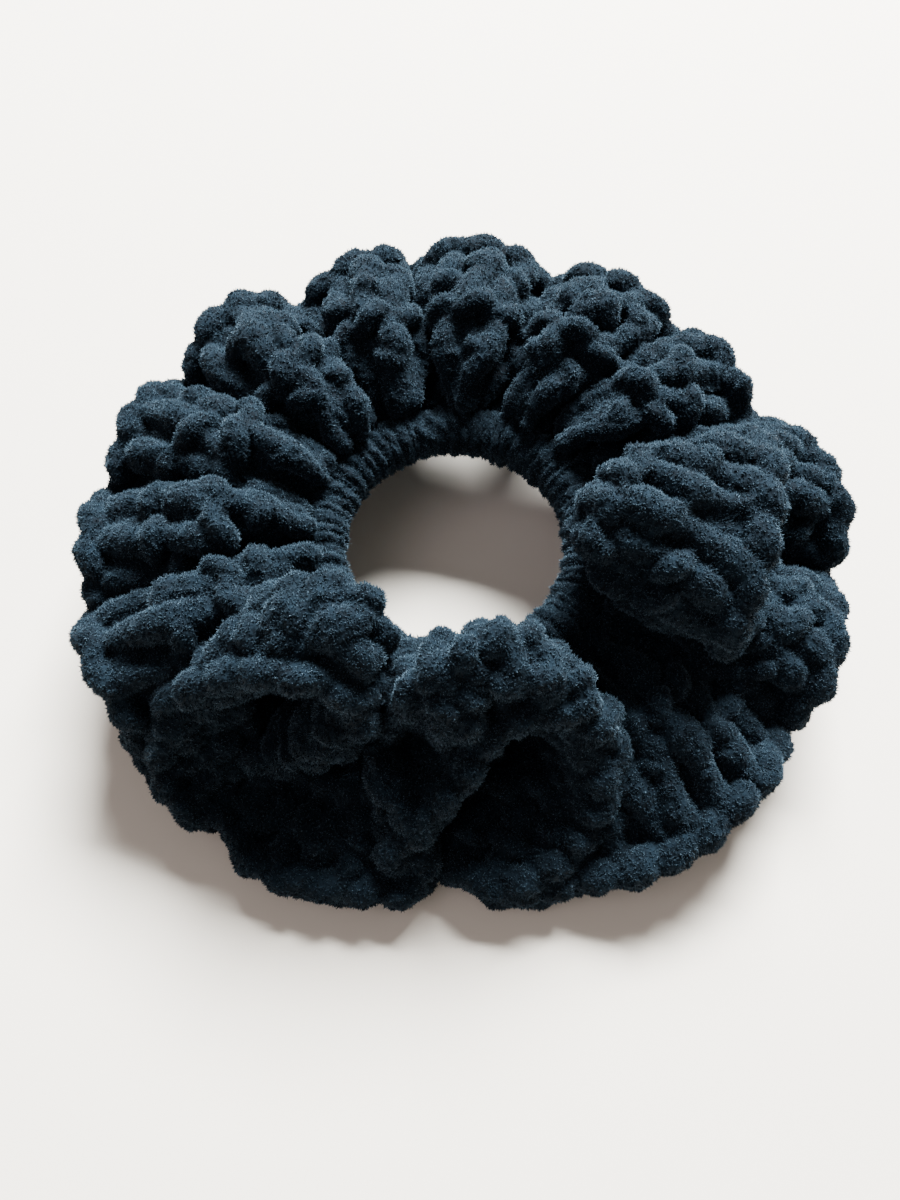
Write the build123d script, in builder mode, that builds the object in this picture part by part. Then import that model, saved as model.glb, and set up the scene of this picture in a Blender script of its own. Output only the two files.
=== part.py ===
"""Crocheted scrunchie: an elastic hair tie covered with a foundation round of
single crochet, from which a wide ruffle of chenille yarn stands out in folds.

Frame: origin on the table below the centre of the ring, +Z up. The ring lies
flat. Segments are numbered counter-clockwise from the one at +X.
The scrunchie stretches, so the tie, the foundation and the ruffle are cut into
one segment for each fold group of the ruffle, with a small gap at every cut.
"""

import os
from math import cos, degrees, radians, sin, tan

from build123d import *

# Hair tie
tie_mean_r = 21.0  # radius of the tie's centreline, relaxed
tie_height = 18.0  # height of the centreline above the table
core_r = 1.3  # rubber core
cover_wall = 0.6  # braided cover
cover_fit = 0.1  # core to cover
join_wall = 0.3  # glued sleeve over the tie's closing joint
join_length = 6.0
join_fit = 0.05  # cover to sleeve

# Foundation round of single crochet on the tie
wrap_wall = 1.5
wrap_fit = 0.1  # sleeve to foundation

# Ruffle
fabric_wall = 4.6  # thickness of the chenille fabric
ruffle_reach = 57.0  # outside radius
crest_height = 34.0  # top of an ordinary fold above the table
root_half_height = 4.2  # half height of the ruffle where it leaves the foundation
foot_r = 38.0  # the folds stand on the table from here outwards
crest_drop = 2.5  # how much lower the crest is at foot_r than at the edge
gather_r = 31.0  # the hollow of a fold starts outside this radius
hollow_start = 1.0  # half width at which a hollow starts
ruffle_fit = 0.1  # foundation to ruffle

# Cuts between segments
cut_gap = 0.6

# Yarn ends
yarn_r = 1.2
knot_r = 2.0
end_fit = 0.15  # knot and tail to foundation
tail_span = 24.0  # degrees of the ring that the woven-in tail follows

first_cut = -8.0  # angle of the first cut, degrees

# One row per segment, counter-clockwise: sector width in degrees, folds side by side,
# and how far its reach and its crest differ from the ordinary ones.
SEGMENTS = (
    (20.0, 1, 1.5, 6.0),
    (14.0, 1, 0.0, -7.0),
    (21.0, 1, 0.0, -3.0),
    (25.0, 1, 0.5, 1.0),
    (26.0, 1, 0.0, 0.0),
    (25.0, 1, 0.0, -2.0),
    (25.0, 1, 0.5, 1.0),
    (23.0, 1, 0.5, 0.0),
    (21.0, 1, 1.5, 0.0),
    (22.0, 1, 1.0, -1.0),
    (38.0, 1, -1.0, 2.0),
    (41.0, 2, 0.0, 1.0),
    (42.0, 2, -1.0, -7.0),
    (17.0, 1, 0.0, -9.0),
)
JOIN_SEGMENT = 5  # the tie is joined here, on the far side
KNOT_SEGMENT = 11  # the yarn starts under this one
TAIL_SEGMENT = 12  # and ends woven in under this one

cover_in = core_r + cover_fit
cover_out = cover_in + cover_wall
join_in = cover_out + join_fit
join_out = join_in + join_wall
wrap_in = join_out + wrap_fit
wrap_out = wrap_in + wrap_wall
ruffle_in = tie_mean_r + wrap_out * 0.8


def ring_plane(angle):
    """Upright plane through the ring's axis: x points out, y points up, from the tie's height."""
    a = radians(angle)
    return Plane(
        origin=(0, 0, tie_height), x_dir=(cos(a), sin(a), 0), z_dir=(sin(a), -cos(a), 0)
    )


def cross_plane(angle, distance):
    """Upright plane square to the direction at this angle: x to the left going out, y up."""
    a = radians(angle)
    return Plane(
        origin=(distance * cos(a), distance * sin(a), 0),
        x_dir=(-sin(a), cos(a), 0),
        z_dir=(cos(a), sin(a), 0),
    )


def end_gap(radius):
    """Half of the cut between two segments, as an angle at this radius."""
    return degrees((cut_gap / 2) / radius)


def shoulder_r(half_width, tall):
    """Radius of a fold's rounded shoulders."""
    return 0.92 * min(half_width, 0.7 * tall)


def fold_row(distance, half_angle, folds):
    """Centres and half width of the folds side by side, at this distance from the axis."""
    half = distance * tan(radians(half_angle)) - cut_gap / 2
    fold_half = (half + (folds - 1) * fabric_wall / 2) / folds
    step = 2 * fold_half - fabric_wall
    centres = [(i - (folds - 1) / 2) * step for i in range(folds)]
    return centres, fold_half


def hollow_distance(half_angle, folds):
    """Distance from the axis at which a fold is wide enough for its hollow to start."""
    wanted = (hollow_start + fabric_wall) * folds - (folds - 1) * fabric_wall / 2
    return max(gather_r, (wanted + cut_gap / 2) / tan(radians(half_angle)))


def crest_at(distance, crest, reach):
    """Height of the fold's roof at this distance from the axis."""
    low = crest - crest_drop
    share = (distance - foot_r) / (reach - foot_r)
    if share >= 0:
        return low + (crest - low) * share
    root = tie_height + root_half_height
    share = (distance - ruffle_in) / (foot_r - ruffle_in)
    return root + (low - root) * share


os.makedirs("parts", exist_ok=True)

start = first_cut
for number, (width, folds, more_reach, more_crest) in enumerate(SEGMENTS, start=1):
    name = f"{number:02d}"
    middle = start + width / 2
    reach = ruffle_reach + more_reach
    crest = crest_height + more_crest
    # The cuts through the ring are parallel-sided at its inside
    ring_start = start + end_gap(tie_mean_r - wrap_out)
    ring_arc = width - 2 * end_gap(tie_mean_r - wrap_out)

    with BuildPart() as tie_core:
        with BuildSketch(ring_plane(ring_start)):
            with Locations((tie_mean_r, 0)):
                Circle(core_r)
        revolve(axis=Axis.Z, revolution_arc=ring_arc)
    tie_core.part.label = f"tie_core_{name}"
    export_step(tie_core.part, f"parts/tie_core_{name}.step")

    with BuildPart() as tie_cover:
        with BuildSketch(ring_plane(ring_start)):
            with Locations((tie_mean_r, 0)):
                Circle(cover_out)
                Circle(cover_in, mode=Mode.SUBTRACT)
        revolve(axis=Axis.Z, revolution_arc=ring_arc)
    tie_cover.part.label = f"tie_cover_{name}"
    export_step(tie_cover.part, f"parts/tie_cover_{name}.step")

    with BuildPart() as foundation:
        with BuildSketch(ring_plane(ring_start)):
            with Locations((tie_mean_r, 0)):
                Circle(wrap_out)
                Circle(wrap_in, mode=Mode.SUBTRACT)
        revolve(axis=Axis.Z, revolution_arc=ring_arc)
    foundation.part.label = f"foundation_{name}"
    export_step(foundation.part, f"parts/foundation_{name}.step")

    # Ruffle: rounded folds that widen outwards, hollow from below and from the edge
    beyond = reach + 2
    below = 2
    stations = (ruffle_in, foot_r, beyond)
    feet = (tie_height - root_half_height, 0, 0)
    hollow_from = hollow_distance(width / 2, folds)
    with BuildPart() as ruffle:
        for fold in range(folds):
            for distance, foot in zip(stations, feet):
                centres, fold_half = fold_row(distance, width / 2, folds)
                tall = crest_at(distance, crest, reach) - foot
                with BuildSketch(cross_plane(middle, distance)) as section:
                    with Locations((centres[fold], foot)):
                        Rectangle(2 * fold_half, tall, align=(Align.CENTER, Align.MIN))
                    fillet(section.vertices().group_by(Axis.Y)[-1], shoulder_r(fold_half, tall))
            loft(ruled=True)
        for fold in range(folds):
            for distance in (hollow_from, beyond + 1):
                centres, fold_half = fold_row(distance, width / 2, folds)
                inner_half = fold_half - fabric_wall
                tall = crest_at(distance, crest, reach) - fabric_wall + below
                with BuildSketch(cross_plane(middle, distance)) as hollow:
                    with Locations((centres[fold], -below)):
                        Rectangle(2 * inner_half, tall, align=(Align.CENTER, Align.MIN))
                    fillet(hollow.vertices().group_by(Axis.Y)[-1], shoulder_r(inner_half, tall))
            loft(ruled=True, mode=Mode.SUBTRACT)
        Cylinder(reach, 2 * crest, mode=Mode.INTERSECT)
        with BuildSketch(ring_plane(start - 5)):
            with Locations((tie_mean_r, 0)):
                Circle(wrap_out + ruffle_fit)
        revolve(axis=Axis.Z, revolution_arc=width + 10, mode=Mode.SUBTRACT)
    ruffle.part.label = f"ruffle_{name}"
    export_step(ruffle.part, f"parts/ruffle_{name}.step")

    if number == JOIN_SEGMENT:
        join_arc = degrees(join_length / tie_mean_r)
        with BuildPart() as tie_join:
            with BuildSketch(ring_plane(middle - join_arc / 2)):
                with Locations((tie_mean_r, 0)):
                    Circle(join_out)
                    Circle(join_in, mode=Mode.SUBTRACT)
            revolve(axis=Axis.Z, revolution_arc=join_arc)
        tie_join.part.label = "tie_join"
        export_step(tie_join.part, "parts/tie_join.step")

    if number == KNOT_SEGMENT:
        knot_place = (tie_mean_r, -(wrap_out + end_fit + knot_r), 0)
        with BuildPart() as start_knot:
            with Locations(ring_plane(middle).from_local_coords(knot_place)):
                Sphere(knot_r)
        start_knot.part.label = "start_knot"
        export_step(start_knot.part, "parts/start_knot.step")

    if number == TAIL_SEGMENT:
        with BuildPart() as yarn_tail:
            with BuildSketch(ring_plane(middle - tail_span / 2)):
                with Locations((tie_mean_r, -(wrap_out + end_fit + yarn_r))):
                    Circle(yarn_r)
            revolve(axis=Axis.Z, revolution_arc=tail_span)
        yarn_tail.part.label = "yarn_tail"
        export_step(yarn_tail.part, "parts/yarn_tail.step")

    start += width
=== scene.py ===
import bpy, math
import numpy as np
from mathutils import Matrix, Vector, noise


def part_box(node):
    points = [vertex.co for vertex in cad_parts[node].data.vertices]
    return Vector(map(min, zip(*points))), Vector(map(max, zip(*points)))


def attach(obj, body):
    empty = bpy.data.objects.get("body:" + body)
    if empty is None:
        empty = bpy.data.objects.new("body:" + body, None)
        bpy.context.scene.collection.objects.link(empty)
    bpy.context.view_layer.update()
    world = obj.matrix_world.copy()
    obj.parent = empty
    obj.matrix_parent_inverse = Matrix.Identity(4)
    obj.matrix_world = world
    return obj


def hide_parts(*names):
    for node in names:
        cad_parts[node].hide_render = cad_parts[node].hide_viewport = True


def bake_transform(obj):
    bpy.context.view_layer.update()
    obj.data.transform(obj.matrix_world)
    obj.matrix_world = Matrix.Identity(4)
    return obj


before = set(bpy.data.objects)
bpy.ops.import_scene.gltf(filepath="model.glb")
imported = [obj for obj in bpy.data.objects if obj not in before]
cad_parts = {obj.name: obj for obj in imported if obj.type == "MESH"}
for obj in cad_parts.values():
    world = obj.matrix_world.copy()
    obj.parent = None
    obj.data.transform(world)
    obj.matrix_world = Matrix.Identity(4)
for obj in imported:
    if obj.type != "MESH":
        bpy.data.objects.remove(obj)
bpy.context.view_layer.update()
rng = np.random.default_rng(7)
noise.seed_set(7)   # without it, vector noise differs from run to run
MM = 0.001

# ---------------------------------------------------------------- the object's sizes, in millimetres
RING_R, RING_Z, RING_T = 21.0, 18.0, 3.9   # tie centreline, its height, radius of the wrapped ring
CUTS = [-8.0, 12.0, 26.0, 47.0, 72.0, 98.0, 123.0, 148.0, 171.0, 192.0, 214.0, 252.0, 293.0, 335.0, 352.0]   # degrees
MID = [(a + b) / 2 for a, b in zip(CUTS, CUTS[1:])]
PITCH = 4.6       # width of a column of the sheet at the ruffle's edge
ROWS = 9          # steps of a column from the ring to the edge
POSTS = 148       # pairs of crossing yarns round the ruffle's outer part
WRAPS = 70        # turns of yarn round the tie
TABLE = 2.6       # the sheet's middle keeps this far above the table
PITS = [((260.5, 34, 22), (0.3, 3.0, -10.5), 2.9)]   # a pit in the front fold: angle, radius, height; push; width
COLUMN_AREA = 116.0   # flat area of a column, in square millimetres
# the ruffle's edge and its shoulder, counter-clockwise, one fold group to a line: angle, radius, height of each
CTRL = [
 (-4,53,5, -5,39,9), (-9,51,14, -11,37,18), (-18,47,18, -22,32,25), (-25,44,24, -29,25,31), (-21,44,29, -26,20,36),
 (-9,45,33, -14,20,38), (4,46,33, 1,24,38), (11,47,28, 8,31,34), (6,51,16, 7,38,22), (4,56,6, 6,43,9),
 (0,60,8, 5,46,12), (2,61.5,15, 8,45,20), (10,61.5,18, 13,42,24), (18,59,18, 18,41,24), (23,58,13, 22,41,17),
  (25,56,5, 25,40,6),
 (27,55,14, 28,37,18), (29,54,21, 30,34,28), (35,54,23, 35,34,31), (41,55,21, 41,35,29), (44,56,13, 43,38,17),
  (46,56,5, 46,40,6),
 (48,56,14, 48,38,18), (50,55,21, 50,35,29), (59,54,24, 59,35,32), (67,53,22, 66,36,29), (69,54,13, 68,38,17),
  (72,55,5, 71,40,6),
 (74,55,14, 74,38,18), (77,54,22, 77,36,29), (87,53,25, 87,36,32), (94,52,22, 93,36,28), (96,54,13, 95,38,16),
  (98,55,5, 98,40,6),
 (100,55,13, 100,38,17), (102,54,22, 102,36,28), (108,54,24, 109,36,31), (117,52,21, 117,37,27),
  (120,54,12, 119,38,15), (122,55,5, 122,40,6),
 (124,55,13, 124,38,18), (127,55,21, 127,35,28), (136,56,24, 136,33,32), (143,54,21, 143,33,29),
  (146,55,13, 146,36,17), (148,55,5, 148,40,6),
 (150,56,13, 150,37,18), (152,57,19, 153,34,29), (159,56,22, 160,32,32), (167,56,20, 168,32,30),
  (170,56,12, 169,36,17), (171,56,5, 171,40,6),
 (173,57,12, 173,37,18), (175,58,18, 175,34,28), (182,57,21, 182,31,32), (189,56,18, 189,31,30),
  (191,57,12, 190,36,17), (192,57,5, 192,40,6),
 (194,57,12, 194,37,18), (196,58,17, 197,34,28), (202,58,20, 202,31,32), (208,57,17, 209,31,30),
  (211,57,11, 211,35,17), (213,58,4, 213,41,6),
 (222,56,3.5, 217,42,7), (230,52,3.5, 222,38,9), (226,56,5, 221,42,11), (218,56,8.5, 216,42,16),
  (215,54,14, 214,38,23), (215,49,19, 214,32,28), (218,43,24, 217,27,32),
 (224,38,28, 223,24,34), (232,34,30, 232,22,35), (240,31,29, 240,23,33), (245,33,24, 243,28,27),
  (239,38,17, 240,31,20), (231,42,12, 232,33,14), (226,47,7, 227,36,10),
 (233,55,3.5, 231,41,6), (245,55,3.5, 245,40,7), (253,53,3.5, 250,39,8), (266,50.5,3.5, 258,38,9),
  (260.5,48,8, 253,34,17), (266,43,12, 256,28,26), (272,38,17, 262,25,32),
 (276,33,21, 270,24,32), (286,31,24, 281,23,33), (296,32,25, 290,24,32), (302,37,21, 299,28,28),
  (301,43,15, 303,33,21), (295,47,10, 303,37,15), (287,50,6, 301,40,10), (277,51.5,3.5, 286,39,7),
  (274,50,3.2, 275,37,7), (269,45,3.2, 266,35,7),
 (275,50,3.2, 271,37,4.5), (279,52,3.2, 278,38,4.5), (287,52,3.5, 289,41,4.5), (294,54,4.5, 299,40,7),
  (300,55.5,6.5, 304,38,13), (309,57.5,8, 311,37,15), (318,58.5,10, 319,37,18), (326,58.5,9, 326,38,15),
  (332,57,5, 331,40,8),
 (335,58,10, 334,42,14), (340,59,15, 340,43,20), (347,59.5,16, 346,43,21), (354,59,11, 352,43,15),
]


# ---------------------------------------------------------------- the ruffle as a sheet of stitches
def cart(p):
    t = np.radians(p[:, 0])
    return np.stack([p[:, 1] * np.cos(t), p[:, 1] * np.sin(t), p[:, 2]], 1)


def closed_spline(c, m):
    out = np.zeros((len(c), m, c.shape[1]))
    p0, p1, p2, p3 = np.roll(c, 1, 0), c, np.roll(c, -1, 0), np.roll(c, -2, 0)
    for a in range(m):
        t = a / m
        out[:, a] = 0.5 * ((2 * p1) + (-p0 + p2) * t + (2 * p0 - 5 * p1 + 4 * p2 - p3) * t * t
                           + (-p0 + 3 * p1 - 3 * p2 + p3) * t ** 3)
    return out.reshape(len(c) * m, -1)


def run_mean(v, w, turn=0.0):
    pad = np.concatenate([v[-w:] - turn, v, v[:w] + turn])
    return np.convolve(pad, np.ones(2 * w + 1) / (2 * w + 1), "same")[w:-w]


def start_surface():
    c = np.array(CTRL, float)
    d = closed_spline(np.hstack([cart(c[:, :3]), cart(c[:, 3:])]), 20)
    e = d[:, :3]
    s = np.concatenate([[0], np.cumsum(np.linalg.norm(np.roll(e, -1, 0) - e, axis=1))])
    n = int(round(s[-1] / PITCH / 2)) * 2
    q = np.arange(n) / n * s[-1]
    d = np.vstack([d, d[:1]])
    d = np.stack([np.interp(q, s, d[:, k]) for k in range(6)], 1)
    E, S = d[:, :3], d[:, 3:]
    th = np.unwrap(np.arctan2(S[:, 1], S[:, 0]))
    even = np.arange(n) / n * 2 * math.pi
    # where each column meets the ring: between even spacing and straight below its shoulder
    base = (even + np.mean(th - even)) * 0.45 + 0.55 * np.maximum.accumulate(run_mean(th, 9, 2 * math.pi))
    base = np.maximum.accumulate(base)
    al = np.radians(-55 + 130 * np.clip((S[:, 2] - 6) / 26, 0, 1))   # a high shoulder leaves the ring upwards
    eb = np.stack([np.cos(base), np.sin(base), 0 * base], 1)
    z = np.array([0, 0, 1.0])
    d = eb * np.cos(al)[:, None] + z * np.sin(al)[:, None]
    P = eb * RING_R + z * RING_Z + d * (RING_T + 1.0)
    X = np.zeros((n, ROWS + 1, 3))
    mid = (E - P) * 0.5
    for k in range(ROWS + 1):
        t = k / ROWS
        if t <= 0.5:
            a, A, B, ta, tb = t * 2, P, S, d * 16.0, mid
        else:
            a, A, B, ta, tb = t * 2 - 1, S, E, mid, E - S
        X[:, k] = ((2 * a ** 3 - 3 * a * a + 1) * A + (a ** 3 - 2 * a * a + a) * ta
                   + (-2 * a ** 3 + 3 * a * a) * B + (a ** 3 - a * a) * tb)
    return X, base


def relax(X, steps, rad=2.1, pull=0.18):
    """Lets the sheet find its own folds.

    Columns keep their size, layers stay rad from the middle of the fabric, nothing enters the ring or the table,
    and pull draws each point back to where it started.
    """
    X = X.copy()
    X0 = X.copy()
    n, m, _ = X.shape
    w = np.interp(np.linspace(0, 1, m), [0, 0.45, 1], [2 * math.pi * 25 / n, 2.6, PITCH])
    idx = np.arange(n * m)
    A = idx[idx % m >= 4]   # the points that can meet another layer
    ca, ra = A // m, A % m
    own = np.linalg.norm(np.diff(X, axis=1), axis=2).sum(1)
    h = run_mean(np.clip(own, 27, 40), 3)[:, None] / (m - 1)
    dc = np.abs(ca[:, None] - ca[None])
    dc = np.minimum(dc, n - dc)
    R = 2 * rad * np.minimum(1, np.minimum(ra[:, None], ra[None]) / 5.0)
    R = np.where(dc > 3, R, 0)
    held = np.interp(np.arange(m), [0, 5, m - 1], [0.8, 0.6, 2.2])[None, :, None]
    for _ in range(steps):
        for k in range(m - 1):
            d = X[:, k + 1] - X[:, k]
            L = np.linalg.norm(d, axis=1, keepdims=True)
            c = d * (1 - h / np.maximum(L, 1e-6)) * 0.6
            share = 0.0 if k == 0 else 0.5
            X[:, k] += c * share
            X[:, k + 1] -= c * (1 - share)
        for k in range(1, m):
            d = np.roll(X[:, k], -1, 0) - X[:, k]
            L = np.linalg.norm(d, axis=1, keepdims=True)
            c = d * (1 - w[k] / np.maximum(L, 1e-6)) * 0.3
            X[:, k] += c - np.roll(c, 1, 0)
        X[:, 1:] += 0.08 * ((np.roll(X, 1, 0) + np.roll(X, -1, 0)) / 2 - X)[:, 1:]
        X[:, 1:-1] += 0.3 * ((X[:, :-2] + X[:, 2:]) / 2 - X[:, 1:-1])
        Q = X.reshape(-1, 3)[A]
        g = (Q ** 2).sum(1)
        L2 = g[:, None] + g[None] - 2 * Q @ Q.T
        i, j = np.nonzero((L2 < R * R) & (L2 > 1e-9))
        L = np.sqrt(L2[i, j])
        push = (Q[i] - Q[j]) * ((R[i, j] - L) / L * 0.5)[:, None]
        total = np.zeros_like(Q)
        np.add.at(total, i, push)
        count = np.maximum(np.bincount(i, minlength=len(Q)), 1)[:, None]
        Y = X.reshape(-1, 3)
        Y[A] += total / np.sqrt(count)
        X = Y.reshape(n, m, 3)
        X[:, :, 2] = np.maximum(X[:, :, 2], TABLE)
        r = np.maximum(np.hypot(X[:, :, 0], X[:, :, 1]), 1e-6)
        a, b = r - RING_R, X[:, :, 2] - RING_Z
        q = np.hypot(a, b)
        lim = RING_T + 1.8
        k = np.where(q < lim, lim / np.maximum(q, 1e-6), 1)
        k[:, 0] = 1
        nr = RING_R + a * k
        X[:, :, 0] *= nr / r
        X[:, :, 1] *= nr / r
        X[:, :, 2] = RING_Z + b * k
        X[:, 1:] += (pull * (X0 - X) * held)[:, 1:]
        X[:, 0] = X0[:, 0]
    return X


# ---------------------------------------------------------------- yarn
class Yarn:
    """Closed tubes of yarn gathered into one mesh."""

    def __init__(self, sides=10):
        self.v, self.f, self.n, self.sides = [], [], 0, sides

    def tube(self, pts, radii, closed=False):
        p = np.asarray(pts, float)
        r = np.broadcast_to(np.asarray(radii, float), (len(p),))
        k, s = len(p), self.sides
        t = np.roll(p, -1, 0) - np.roll(p, 1, 0) if closed else np.gradient(p, axis=0)
        t /= np.maximum(np.linalg.norm(t, axis=1, keepdims=True), 1e-9)
        u = np.cross(t[0], [0.3, 0.2, 1.0])
        if np.linalg.norm(u) < 1e-3:
            u = np.cross(t[0], [1.0, 0, 0])
        us = []
        for i in range(k):
            u = u - t[i] * (u @ t[i])
            u /= max(np.linalg.norm(u), 1e-9)
            us.append(u)
        us = np.array(us)
        ws = np.cross(t, us)
        a = np.arange(s) / s * 2 * math.pi
        ring = p[:, None] + r[:, None, None] * (np.cos(a)[None, :, None] * us[:, None]
                                                + np.sin(a)[None, :, None] * ws[:, None])
        v = ring.reshape(-1, 3)
        i, j = np.meshgrid(np.arange(k if closed else k - 1), np.arange(s), indexing="ij")
        i2, j2 = (i + 1) % k, (j + 1) % s
        f = np.stack([i * s + j, i * s + j2, i2 * s + j2, i2 * s + j], -1).reshape(-1, 4)
        if not closed:
            caps = np.array([p[0] - t[0] * r[0] * 0.6, p[-1] + t[-1] * r[-1] * 0.6])
            v = np.vstack([v, caps])
            jj = np.arange(s)
            j3 = (jj + 1) % s
            c0 = np.stack([np.full(s, k * s), j3, jj, jj], -1)
            c1 = np.stack([np.full(s, k * s + 1), (k - 1) * s + jj, (k - 1) * s + j3, (k - 1) * s + j3], -1)
            f = np.vstack([f, c0, c1])
        self.f.append(f + self.n)
        self.v.append(v)
        self.n += len(v)

    def mesh(self, name):
        v, f = np.vstack(self.v), np.vstack(self.f)
        return quads(name, v, f)


def quads(name, v, f):
    me = bpy.data.meshes.new(name)
    faces = [tuple(x) if x[2] != x[3] else tuple(x[:3]) for x in f.tolist()]
    me.from_pydata(v.tolist(), [], faces)
    me.update()
    return me


def along(P, t):
    """Points at the parameters t, in node steps, of a smooth open curve through P."""
    P = np.asarray(P)
    t = np.clip(np.asarray(t, float), 0, len(P) - 1 - 1e-6)
    i = t.astype(int)
    a = (t - i)[:, None]
    g = np.vstack([2 * P[0] - P[1], P, 2 * P[-1] - P[-2]])
    p0, p1, p2, p3 = g[i], g[i + 1], g[i + 2], g[i + 3]
    return 0.5 * ((2 * p1) + (-p0 + p2) * a + (2 * p0 - 5 * p1 + 4 * p2 - p3) * a * a
                  + (-p0 + 3 * p1 - 3 * p2 + p3) * a ** 3)


def pressed(p, share):
    """How far the pits that the folds leave move the points p: a share of each pit's depth."""
    out = np.zeros_like(p)
    for centre, push, width in PITS:
        c = cart(np.array([centre], float))[0]
        out += share * np.array(push) * np.exp(-((p - c) ** 2).sum(-1, keepdims=True) / (2 * width ** 2))
    return out


SMALLEST_SKIN = 2e-9   # cubic metres; a pocket's own volume counts as negative


def outer_skin(name, v, f):
    """The mesh without the closed pockets that lie inside it."""
    e = np.concatenate([f[:, [0, 1]], f[:, [1, 2]], f[:, [2, 3]]])
    label = np.arange(len(v))
    while True:
        low = label.copy()
        np.minimum.at(low, e[:, 0], label[e[:, 1]])
        np.minimum.at(low, e[:, 1], label[e[:, 0]])
        low = low[low]
        if (low == label).all():
            break
        label = low
    a, b, c, d = v[f[:, 0]], v[f[:, 1]], v[f[:, 2]], v[f[:, 3]]
    vol = ((a * np.cross(b, c)).sum(1) + (a * np.cross(c, d)).sum(1)) / 6
    total = np.bincount(label[f[:, 0]], vol, len(v))
    f = f[total[label[f[:, 0]]] > SMALLEST_SKIN]
    used = np.unique(f)
    back = np.zeros(len(v), int)
    back[used] = np.arange(len(used))
    me = bpy.data.meshes.new(name)
    me.vertices.add(len(used))
    me.vertices.foreach_set("co", v[used].astype(np.float32).ravel())
    me.loops.add(len(f) * 4)
    me.loops.foreach_set("vertex_index", back[f].astype(np.int32).ravel())
    me.polygons.add(len(f))
    me.polygons.foreach_set("loop_start", (np.arange(len(f)) * 4).astype(np.int32))
    me.polygons.foreach_set("use_smooth", np.ones(len(f), bool))
    me.update()
    me.validate()
    return me


def skin(name, me, voxel, lump=0.35, fine=0.16):
    """One closed skin, in metres, over overlapping yarns in millimetres, with the soft lumps of chenille."""
    o = bpy.data.objects.new(name, me)
    bpy.context.scene.collection.objects.link(o)
    m = o.modifiers.new("skin", "REMESH")
    m.mode, m.voxel_size, m.use_smooth_shade = "VOXEL", voxel, True
    sm = o.modifiers.new("soft", "SMOOTH")
    sm.factor, sm.iterations = 0.5, 1
    dg = bpy.context.evaluated_depsgraph_get()
    new = bpy.data.meshes.new_from_object(o.evaluated_get(dg))
    o.modifiers.clear()
    o.data = new
    k = len(new.vertices)
    co = np.zeros(k * 3, np.float32)
    no = np.zeros(k * 3, np.float32)
    new.vertices.foreach_get("co", co)
    new.vertices.foreach_get("normal", no)
    co, no = co.reshape(-1, 3).astype(float), no.reshape(-1, 3).astype(float)
    h = np.array([noise.noise(Vector(c) * 0.42) * lump + noise.noise(Vector(c) * 1.15) * fine * 1.6
                  + noise.noise(Vector(c) * 2.6) * fine for c in co.tolist()])
    co += no * h[:, None]
    co += pressed(co, 0.8)
    co[:, 2] = np.maximum(co[:, 2], 0.25)
    f = np.zeros(len(new.polygons) * 4, np.int32)
    new.polygons.foreach_get("vertices", f)
    o.data = outer_skin(name, co * MM, f.reshape(-1, 4))
    return o


MOST_SPIKES = 44000   # four faces each, so a pile stays under 200,000 faces


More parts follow.
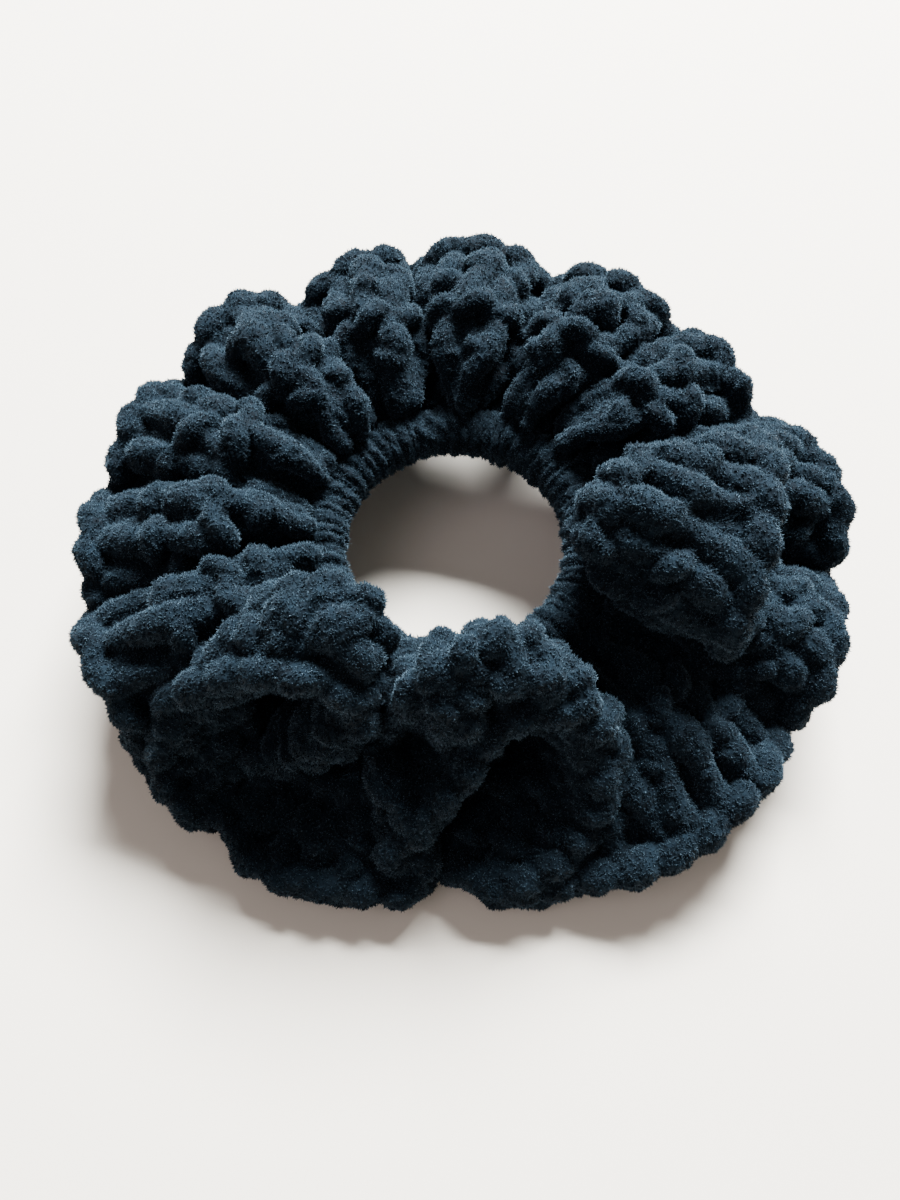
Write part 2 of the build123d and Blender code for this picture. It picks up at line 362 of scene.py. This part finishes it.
def pile(name, skin_obj, per_mm2, length, width):
    """The velvet pile of a skin: short closed spikes standing out of it."""
    me = skin_obj.data
    me.calc_loop_triangles()
    k = len(me.vertices)
    co = np.zeros(k * 3, np.float32)
    me.vertices.foreach_get("co", co)
    no = np.zeros(k * 3, np.float32)
    me.vertices.foreach_get("normal", no)
    co, no = co.reshape(-1, 3).astype(float) / MM, no.reshape(-1, 3).astype(float)
    t = np.zeros(len(me.loop_triangles) * 3, np.int32)
    me.loop_triangles.foreach_get("vertices", t)
    t = t.reshape(-1, 3)
    a, b, c = co[t[:, 0]], co[t[:, 1]], co[t[:, 2]]
    area = np.linalg.norm(np.cross(b - a, c - a), axis=1) / 2
    n = min(int(area.sum() * per_mm2), MOST_SPIKES)
    pick = rng.choice(len(t), n, p=area / area.sum())
    r1, r2 = np.sqrt(rng.random(n)), rng.random(n)
    w = np.stack([1 - r1, r1 * (1 - r2), r1 * r2], 1)[:, :, None]
    p = (co[t[pick]] * w).sum(1)
    d = (no[t[pick]] * w).sum(1)
    d /= np.maximum(np.linalg.norm(d, axis=1, keepdims=True), 1e-9)
    tilt = np.array([noise.noise_vector(Vector(x) * 0.55) for x in p.tolist()]) * 0.9
    d = d + tilt + rng.normal(0, 0.32, (n, 3))
    d /= np.linalg.norm(d, axis=1, keepdims=True)
    u = np.cross(d, rng.normal(0, 1, (n, 3)))
    u /= np.linalg.norm(u, axis=1, keepdims=True)
    v = np.cross(d, u)
    L = length * rng.uniform(0.55, 1.25, (n, 1))
    W = width * rng.uniform(0.7, 1.3, (n, 1))
    base = p - d * 0.12
    q = [base + W * (math.cos(x) * u + math.sin(x) * v) for x in (0, 2.094, 4.189)] + [p + d * L]
    q = np.stack(q, 1)
    q[:, :, 2] = np.maximum(q[:, :, 2], 0.05)
    V = q.reshape(-1, 3) * MM
    i = np.arange(n)[:, None] * 4
    F = np.stack([np.hstack([i, i + 1, i + 3]), np.hstack([i + 1, i + 2, i + 3]),
                  np.hstack([i + 2, i, i + 3]), np.hstack([i, i + 2, i + 1])], 1).reshape(-1, 3)
    m2 = bpy.data.meshes.new(name)
    m2.vertices.add(len(V))
    m2.vertices.foreach_set("co", V.astype(np.float32).ravel())
    m2.loops.add(len(F) * 3)
    m2.loops.foreach_set("vertex_index", F.astype(np.int32).ravel())
    m2.polygons.add(len(F))
    m2.polygons.foreach_set("loop_start", (np.arange(len(F)) * 3).astype(np.int32))
    m2.update()
    m2.validate()
    side = int(math.ceil(math.sqrt(n)))
    cell = np.stack([(np.arange(n) % side), (np.arange(n) // side)], 1) / side
    tri = np.array([[0.15, 0.15], [0.85, 0.15], [0.5, 0.85]]) / side
    uv = np.repeat(cell, 4, 0)[:, None] + tri[None]
    layer = m2.uv_layers.new(name="OFBake")
    layer.data.foreach_set("uv", uv.astype(np.float32).ravel())
    o = bpy.data.objects.new(name, m2)
    bpy.context.scene.collection.objects.link(o)
    return o


# ---------------------------------------------------------------- materials
def material(name, dark, light, scale, rough, sheen, sheen_rough, sheen_tint, spec, grain, relief):
    """Colour in soft patches scale to the metre, with a fine grain that also stands out by relief, in metres."""
    m = bpy.data.materials.new(name)
    m.use_nodes = True
    nt = m.node_tree
    b = nt.nodes["Principled BSDF"]
    tc = nt.nodes.new("ShaderNodeTexCoord")
    patch, fine = nt.nodes.new("ShaderNodeTexNoise"), nt.nodes.new("ShaderNodeTexNoise")
    patch.inputs["Scale"].default_value, patch.inputs["Detail"].default_value = scale, 4
    fine.inputs["Scale"].default_value, fine.inputs["Detail"].default_value = grain, 3
    both = nt.nodes.new("ShaderNodeMath")
    both.operation = "ADD"
    ramp = nt.nodes.new("ShaderNodeValToRGB")
    ramp.color_ramp.elements[0].position = 0.36
    ramp.color_ramp.elements[0].color = (*dark, 1)
    ramp.color_ramp.elements[1].position = 0.66
    ramp.color_ramp.elements[1].color = (*light, 1)
    half = nt.nodes.new("ShaderNodeMath")
    half.operation = "MULTIPLY"
    half.inputs[1].default_value = 0.5
    wear = nt.nodes.new("ShaderNodeMapRange")
    wear.inputs["From Min"].default_value, wear.inputs["From Max"].default_value = 0.3, 0.7
    wear.inputs["To Min"].default_value, wear.inputs["To Max"].default_value = rough - 0.12, min(rough + 0.06, 1.0)
    bump = nt.nodes.new("ShaderNodeBump")
    bump.inputs["Strength"].default_value, bump.inputs["Distance"].default_value = 0.7, relief
    for o_, i_ in ((tc.outputs["Object"], patch.inputs["Vector"]), (tc.outputs["Object"], fine.inputs["Vector"]),
                   (patch.outputs["Fac"], both.inputs[0]), (fine.outputs["Fac"], both.inputs[1]),
                   (both.outputs[0], half.inputs[0]), (half.outputs[0], ramp.inputs["Fac"]),
                   (ramp.outputs["Color"], b.inputs["Base Color"]),
                   (patch.outputs["Fac"], wear.inputs["Value"]), (wear.outputs["Result"], b.inputs["Roughness"]),
                   (fine.outputs["Fac"], bump.inputs["Height"]), (bump.outputs["Normal"], b.inputs["Normal"])):
        nt.links.new(o_, i_)
    b.inputs["Sheen Weight"].default_value = sheen
    b.inputs["Sheen Roughness"].default_value = sheen_rough
    b.inputs["Sheen Tint"].default_value = (*sheen_tint, 1)
    b.inputs["Specular IOR Level"].default_value = spec
    return m


M_YARN = material("chenille_core", (0.0013, 0.0027, 0.0047), (0.0064, 0.0128, 0.0200), scale=420, rough=0.92,
                  sheen=0.15, sheen_rough=0.4, sheen_tint=(0.42, 0.62, 0.82), spec=0.05, grain=1900, relief=0.0003)
M_PILE = material("chenille_pile", (0.0027, 0.0056, 0.0093), (0.0096, 0.0186, 0.0276), scale=300, rough=0.9,
                  sheen=0.23, sheen_rough=0.4, sheen_tint=(0.41, 0.64, 0.85), spec=0.05, grain=1500, relief=0.0001)
M_COVER = material("braided_cover", (0.012, 0.012, 0.015), (0.03, 0.03, 0.036), scale=900, rough=0.8,
                   sheen=0.2, sheen_rough=0.4, sheen_tint=(0.6, 0.6, 0.7), spec=0.2, grain=4000, relief=0.0001)
M_CORE = material("elastic_rubber", (0.02, 0.02, 0.02), (0.05, 0.05, 0.05), scale=500, rough=0.7,
                  sheen=0.0, sheen_rough=0.5, sheen_tint=(1, 1, 1), spec=0.4, grain=3000, relief=0.00005)
M_GLUE = material("join_glue", (0.03, 0.03, 0.03), (0.07, 0.07, 0.07), scale=500, rough=0.35,
                  sheen=0.0, sheen_rough=0.5, sheen_tint=(1, 1, 1), spec=0.5, grain=1200, relief=0.00005)


# ---------------------------------------------------------------- build
N = len(MID)
CLOSE = 5        # the ring of bodies is open between segments 5 and 6, counted from 1


def carry(o, i, node_prefix):
    """The piece from the middle of segment i to the middle of the next, its place baked into its mesh, with the two
    segments' own parts hidden when a prefix is given.
    """
    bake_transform(o)
    if node_prefix:
        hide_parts(*[f"{node_prefix}_{(i + k) % N + 1:02d}" for k in (0, 1)])
    return o


def spans():
    """Number, name, first angle and last angle of each piece: the two beside the open seam reach up to it."""
    for i in range(N):
        if i + 1 == CLOSE:
            continue
        a = CUTS[CLOSE] if i == CLOSE else MID[i]
        b = CUTS[CLOSE] if i + 2 == CLOSE else MID[(i + 1) % N] + (360 if i == N - 1 else 0)
        yield i, f"{i + 1:02d}", a, b


X, base = start_surface()
X = relax(X, 40)
X[:, 1:] += pressed(X[:, 1:], 0.45)
n, m, _ = X.shape
du = np.roll(X, -1, 0) - np.roll(X, 1, 0)
dv = np.gradient(X, axis=1)
NRM = np.cross(du, dv)
NRM /= np.maximum(np.linalg.norm(NRM, axis=2, keepdims=True), 1e-9)
base_deg = np.degrees(base)


def sheet_at(j, t):
    """Point and normal of the sheet at stitch j, which may be a fraction, and node step t."""
    j0 = int(math.floor(j))
    a = j - j0
    P = X[j0 % n] * (1 - a) + X[(j0 + 1) % n] * a
    Q = NRM[j0 % n] * (1 - a) + NRM[(j0 + 1) % n] * a
    p = along(P, t)
    q = along(Q, t)
    return p, q / np.maximum(np.linalg.norm(q, axis=1, keepdims=True), 1e-9)


def frame_at(j, t):
    """Point, along, across and out of the sheet, at stitch j and node steps t."""
    p, q = sheet_at(j, t)
    d = np.gradient(p, axis=0)
    d /= np.maximum(np.linalg.norm(d, axis=1, keepdims=True), 1e-9)
    return p, d, np.cross(q, d), q


def strand(y, j0, j1, t0, t1, r0, r1, out, seed, wander=0.5, belly=0.22):
    """One fat yarn of the fabric, from stitch j0 on one row to stitch j1 on the next, held off the sheet by out."""
    g = np.random.default_rng(seed)
    k = 16
    s = np.linspace(0, 1, k)
    p0, d0, w0, q0 = frame_at(j0, t0 + (t1 - t0) * s)
    p1, d1, w1, q1 = frame_at(j1, t0 + (t1 - t0) * s)
    e = (s * s * (3 - 2 * s))[:, None]
    p, w, q = p0 * (1 - e) + p1 * e, w0 * (1 - e) + w1 * e, q0 * (1 - e) + q1 * e
    ph = g.uniform(0, 2 * math.pi, 3)
    arch = np.sin(math.pi * s)
    p = (p + q * (out * (0.45 + 0.55 * arch) + wander * np.sin(5 * s + ph[0]))[:, None]
         + w * (wander * np.sin(7 * s + ph[1]))[:, None])
    swell = 1 + belly * np.cos(2 * math.pi * g.uniform(1.2, 2.2) * s + ph[2]) + g.uniform(-0.10, 0.08)
    y.tube(p, (r0 + (r1 - r0) * s) * swell)


def over(y, j, t, side, length, r, lean, out):
    """A yarn-over: a short fat piece of yarn lying across the front or the back of a stitch."""
    p, d, w, q = [v[1] for v in frame_at(j, [t - 0.05, t, t + 0.05])]
    u = math.cos(lean) * w + math.sin(lean) * d
    s = np.linspace(-1, 1, 9)[:, None]
    y.tube(p + u * s * length / 2 + side * q * (out - 1.5 * s * s), r * (1 - 0.3 * s[:, 0] ** 2))


def rope(y, posts, t, r, swing_out, swing_side, side, phase, beads=1.0, lift=0.0):
    """A strand that runs along the row, bulging once a stitch."""
    pts, rad = [], []
    for k in posts:
        for h in (0.0, 0.25, 0.5, 0.75):
            ph = 2 * math.pi * (h * beads + phase)
            p, d, w, q = frame_at((k + h) * n / POSTS, [t - 0.2, t])
            g = noise.noise(Vector((k + h, t, side)) * 0.6)
            pts.append(p[1] + d[1] * (swing_out * math.cos(ph) + lift + 0.6 * g)
                       + q[1] * side * (swing_side * (1 + 0.35 * math.sin(ph))))
            rad.append(r * (1 + 0.08 * math.cos(ph) + 0.16 * g))
    P = np.array(pts)
    tt = np.linspace(0, len(P) - 1, len(P) * 2)
    y.tube(along(P, tt), np.interp(tt, np.arange(len(P)), rad))


def backing(y, cols, t0, t1, half):
    """The pile-filled middle of the fabric, which closes the gaps between its yarns."""
    k = 12
    t = np.linspace(t0, t1, k)
    grid = [frame_at(j, t) for j in cols]
    top = np.array([p + q * half for p, d, w, q in grid])
    low = np.array([p - q * half for p, d, w, q in grid])
    c = len(cols)
    v = np.concatenate([top.reshape(-1, 3), low.reshape(-1, 3)])
    i, j = np.meshgrid(np.arange(c - 1), np.arange(k - 1), indexing="ij")
    a0, a1, a2, a3 = i * k + j, (i + 1) * k + j, (i + 1) * k + j + 1, i * k + j + 1
    up = np.stack([a0, a1, a2, a3], -1).reshape(-1, 4)
    dn = up[:, ::-1] + c * k
    rim = np.concatenate([np.arange(c) * k, (c - 1) * k + np.arange(1, k),
                          np.arange(c - 2, -1, -1) * k + k - 1, np.arange(k - 2, 0, -1)])
    nx = np.roll(rim, -1)
    side = np.stack([nx, rim, rim + c * k, nx + c * k], -1)
    f = np.vstack([up, dn, side])
    y.f.append(f + y.n)
    y.v.append(v)
    y.n += len(v)


OUTER, INNER = (4.2, 8.4), (-0.2, 4.5)   # the rows that the two rounds of yarns reach over
FAT, MIDDLE, ROOT = 2.4, 2.3, 1.3        # radii of a yarn: at the fold, at the edge, at the ring

voxel = 0.42
for i, tag, a, b in spans():
    lo = (base_deg - a) % 360
    cols = [j for j in range(n) if lo[j] < (b - a)]
    cols.sort(key=lambda j: lo[j])
    y = Yarn()
    mine = [q for q in range(POSTS) if int(q * n / POSTS) in cols]
    mine.sort(key=lambda q: cols.index(int(q * n / POSTS)))
    for q in mine:      # outer round: two yarns that cross, one on each side, and a yarn-over on each
        j = q * n / POSTS
        g = np.random.default_rng(7000 + q)
        u = g.uniform(-0.3, 0.3, 4)
        strand(y, j + u[0], j + 0.9 + u[1], *OUTER, FAT, MIDDLE, 1.6 + 0.5 * u[2], q)
        strand(y, j + 0.9 + u[1], j + u[0], *OUTER, FAT, MIDDLE, -1.6 - 0.5 * u[3], 900 + q)
        for side in (1, -1):
            over(y, j + 0.45 + g.uniform(-0.2, 0.2), g.uniform(5.9, 6.9), side, g.uniform(4.5, 6.5), 1.9,
                 side * g.uniform(0.35, 0.9), 2.6)
    for j in cols:      # inner round: half as many
        if j % 2 == 0:
            g = np.random.default_rng(8000 + j)
            u = g.uniform(-0.3, 0.3, 4)
            strand(y, j + u[0], j + 1.0 + u[1], *INNER, ROOT, FAT, 1.5 + u[2], 2000 + j)
            strand(y, j + 1.0, j, *INNER, ROOT, FAT, -1.5 - u[3], 3000 + j)
            for side in (1, -1):
                over(y, j + 0.5, g.uniform(2.4, 3.3), side, g.uniform(3.5, 5.0), 1.6, side * g.uniform(0.35, 0.9), 2.3)
    backing(y, cols, 0.4, 8.6, 1.2)
    for side in (1, -1):
        rope(y, mine, 4.4, 1.7, 0.9, 2.4, side, 0.25 * side)                  # between the rounds
        rope(y, mine, 8.55, 2.35, 0.5, 1.5, side, 0.25 * side, 1.0, 0.2)      # the edge
    arc = np.radians(np.linspace(a, b, 24))
    root_r = RING_R + RING_T + 1.0
    y.tube(np.stack([root_r * np.cos(arc), root_r * np.sin(arc), 0 * arc + RING_Z - 0.5], 1), 2.4)
    o = skin("fabric_" + tag, y.mesh("fabric_" + tag), voxel, 0.32, 0.16)
    o.data.materials.append(M_YARN)
    fz = pile("pile_" + tag, o, 9.0, 0.46, 0.14)
    fz.data.materials.append(M_PILE)
    carry(o, i, "ruffle")
    carry(fz, i, None)
    # laid flat: as wide as its edge, as tall as its two rounds, and narrowing towards the ring
    flat_area = sum(np.linalg.norm(np.cross(X[(j + 1) % n, :-1] - X[j, :-1], X[j, 1:] - X[j, :-1]), axis=1).sum()
                    for j in cols) * MM * MM
    flat_area = max(flat_area, len(cols) * COLUMN_AREA * MM * MM)
    print("piece", tag, "columns", len(cols), "faces", len(o.data.polygons), "pile", len(fz.data.polygons))

# foundation round: the yarn wrapped round the tie
gw = np.random.default_rng(11)
edge_deg = np.arange(WRAPS + 1) * 360.0 / WRAPS
edge_deg[1:-1] += gw.uniform(-1.4, 1.4, WRAPS - 1)
wrap_tall = gw.uniform(-0.22, 0.28, WRAPS)
wrap_lean = gw.uniform(-0.35, 0.35, WRAPS + 1)


def capped_tube(name, v):
    """Rings of points v, in millimetres, joined into a tube that is closed at both ends."""
    c, s, _ = v.shape
    ends = np.stack([v[0].mean(0), v[-1].mean(0)])
    i_, j_ = np.meshgrid(np.arange(c - 1), np.arange(s), indexing="ij")
    j2 = (j_ + 1) % s
    f = np.stack([i_ * s + j_, (i_ + 1) * s + j_, (i_ + 1) * s + j2, i_ * s + j2], -1).reshape(-1, 4)
    jj = np.arange(s)
    j3 = (jj + 1) % s
    c0 = np.stack([np.full(s, c * s), jj, j3, j3], -1)
    c1 = np.stack([np.full(s, c * s + 1), (c - 1) * s + j3, (c - 1) * s + jj, (c - 1) * s + jj], -1)
    o = bpy.data.objects.new(name, quads(name, np.vstack([v.reshape(-1, 3), ends]) * MM, np.vstack([f, c0, c1])))
    bpy.context.scene.collection.objects.link(o)
    return o


def wrap_ring(name, k0, k1):
    """Wraps k0 to k1 of the yarn round the tie, as one closed ribbed skin with flat hidden ends."""
    per, nf = 9, 72
    phi = np.arange(nf) / nf * 2 * math.pi
    rows = []
    for k in range(k0, k1):
        kk = k % WRAPS
        lo_d, hi_d = edge_deg[kk] + 360 * (k // WRAPS), edge_deg[kk + 1] + 360 * (k // WRAPS)
        for h in range(per + (1 if k == k1 - 1 else 0)):
            s_ = h / per
            lean = wrap_lean[kk] * (1 - s_) + wrap_lean[(kk + 1) % WRAPS] * s_
            rib = math.sin(math.pi * s_) ** 0.55 if 0 < h < per else 0.0
            rows.append((lo_d + (hi_d - lo_d) * s_, lean, rib, wrap_tall[kk]))
    v = []
    for deg, lean, rib, tall in rows:
        ang = math.radians(deg) + lean * 0.05 * np.sin(phi + lean * 9)
        q = np.array([noise.noise(Vector((RING_R * math.cos(a_) + 3 * math.cos(f_), RING_R * math.sin(a_),
                                          3 * math.sin(f_))) * 0.8) for a_, f_ in zip(ang, phi)])
        rr = RING_T - 0.65 + (0.70 + tall) * rib + 0.42 * q * (0.4 + rib)
        rad = RING_R + rr * np.cos(phi)
        v.append(np.stack([rad * np.cos(ang), rad * np.sin(ang), RING_Z + rr * np.sin(phi)], 1))
    o = capped_tube(name, np.array(v))
    for p_ in o.data.polygons:
        p_.use_smooth = True
    return o


def wrap_index(deg):
    return int(round(deg * WRAPS / 360.0))


TIE_SIDES = 32
TIE = (("tie_cover_braid", 1.86, 0.14, M_COVER, "braided_cover", "tie_cover"),   # name, radius, relief and the rest
       ("tie_core_rubber", 1.25, 0.03, M_CORE, "elastic_rubber", "tie_core"))

for i, tag, a, b in spans():
    o = wrap_ring("foundation_yarn_" + tag, wrap_index(a), wrap_index(b))
    o.data.materials.append(M_YARN)
    fz = pile("foundation_pile_" + tag, o, 12.0, 0.52, 0.11)
    fz.data.materials.append(M_PILE)
    carry(o, i, "foundation")
    carry(fz, i, None)
    # the tie inside: braided cover and rubber core
    for nm, r0, relief, mat, slot, prefix in TIE:
        th = np.radians(np.linspace(a, b, int((b - a) * 3)))[:, None]
        ph = (np.arange(TIE_SIDES) / TIE_SIDES * 2 * math.pi)[None, :]
        rr = r0 + relief * np.abs(np.sin(4 * ph + 60 * th) * np.sin(4 * ph - 60 * th)) ** 0.5
        rad = RING_R + rr * np.cos(ph)
        o = capped_tube(f"{nm}_{tag}", np.stack([rad * np.cos(th), rad * np.sin(th), RING_Z + rr * np.sin(ph)], -1))
        o.data.materials.append(mat)
        carry(o, i, prefix)

# yarn ends: a knot of three small loops, and a short length that lies along the ring
for node, where in (("start_knot", "segment_11"), ("yarn_tail", "segment_12")):
    lo3, hi3 = [np.array(v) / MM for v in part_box(node)]
    c = (lo3 + hi3) / 2
    y = Yarn(10)
    if node == "start_knot":
        for q in range(3):
            ph = np.arange(20) / 20 * 2 * math.pi
            e1 = np.array([math.cos(q * 1.05), math.sin(q * 1.05), 0.35])
            e2 = np.cross(e1, [0.2, -0.5, 0.8])
            e1 /= np.linalg.norm(e1)
            e2 /= np.linalg.norm(e2)
            y.tube(c + 1.05 * (np.cos(ph)[:, None] * e1 + np.sin(ph)[:, None] * e2), 0.85, closed=True)
    else:
        mid = math.degrees(math.atan2(c[1], c[0]))
        arc = np.radians(np.linspace(mid - 12, mid + 12, 14))
        y.tube(np.stack([RING_R * np.cos(arc), RING_R * np.sin(arc), 0 * arc + c[2]], 1), 1.15)
    o = skin(node + "_yarn", y.mesh(node + "_yarn"), 0.4, 0.1, 0.1)
    o.data.materials.append(M_YARN)
    fz = pile(node + "_pile", o, 6.0, 0.5, 0.08)
    fz.data.materials.append(M_PILE)
    for x in (o, fz):
        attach(x, where)
    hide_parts(node)

for slot in bpy.data.objects["tie_join"].material_slots:
    slot.material = M_GLUE

# ---------------------------------------------------------------- floor, light, camera
fm = bpy.data.materials.new("pale_floor")
fm.use_nodes = True
nt = fm.node_tree
pb = nt.nodes["Principled BSDF"]
pb.inputs["Roughness"].default_value = 0.75
pb.inputs["Base Color"].default_value = (0.86, 0.805, 0.725, 1)
me = bpy.data.meshes.new("floor")
me.from_pydata([(-3, -3, 0), (3, -3, 0), (3, 3, 0), (-3, 3, 0)], [], [(0, 1, 2, 3)])
floor = bpy.data.objects.new("floor", me)
bpy.context.scene.collection.objects.link(floor)
floor.data.materials.append(fm)

world = bpy.data.worlds.new("studio")  # dim to the object, pale to the eye
bpy.context.scene.world = world
world.use_nodes = True
world.node_tree.nodes["Background"].inputs[0].default_value = (1.0, 0.90, 0.80, 1)
world.node_tree.nodes["Background"].inputs[1].default_value = 0.25
wt = world.node_tree
pale = wt.nodes.new("ShaderNodeBackground")
pale.inputs[0].default_value = (0.90, 0.89, 0.87, 1)
pale.inputs[1].default_value = 1.6
mix = wt.nodes.new("ShaderNodeMixShader")
ray = wt.nodes.new("ShaderNodeLightPath")
wt.links.new(ray.outputs["Is Camera Ray"], mix.inputs[0])
wt.links.new(wt.nodes["Background"].outputs[0], mix.inputs[1])
wt.links.new(pale.outputs[0], mix.inputs[2])
wt.links.new(mix.outputs[0], wt.nodes["World Output"].inputs[0])


def area(name, loc, size, power, colour, target=(0, 0, 0.015)):
    l = bpy.data.lights.new(name, "AREA")
    l.shape, l.size, l.size_y, l.energy, l.color = "RECTANGLE", size[0], size[1], power, colour
    o = bpy.data.objects.new(name, l)
    bpy.context.scene.collection.objects.link(o)
    o.location = loc
    o.rotation_euler = (Vector(target) - Vector(loc)).to_track_quat("-Z", "Y").to_euler()
    return o


area("window", (0.20, 0.79, 0.79), (0.60, 0.40), 135, (0.97, 0.985, 0.97))
area("fill", (-0.6, -0.3, 1.0), (0.8, 0.8), 2.6, (1.0, 0.87, 0.90))

cam = bpy.data.cameras.new("camera")
cam.lens, cam.sensor_width = 27, 36
cam.clip_start = 0.005
eye = bpy.data.objects.new("camera", cam)
bpy.context.scene.collection.objects.link(eye)
HEIGHT, AWAY = math.radians(62), 0.141    # the eye above the middle of the ring: angle, and distance in metres
eye.location = (-0.0008, -AWAY * math.cos(HEIGHT), 0.018 + AWAY * math.sin(HEIGHT))
eye.rotation_euler = (math.radians(90 - 65.62), 0, 0)
bpy.context.scene.camera = eye
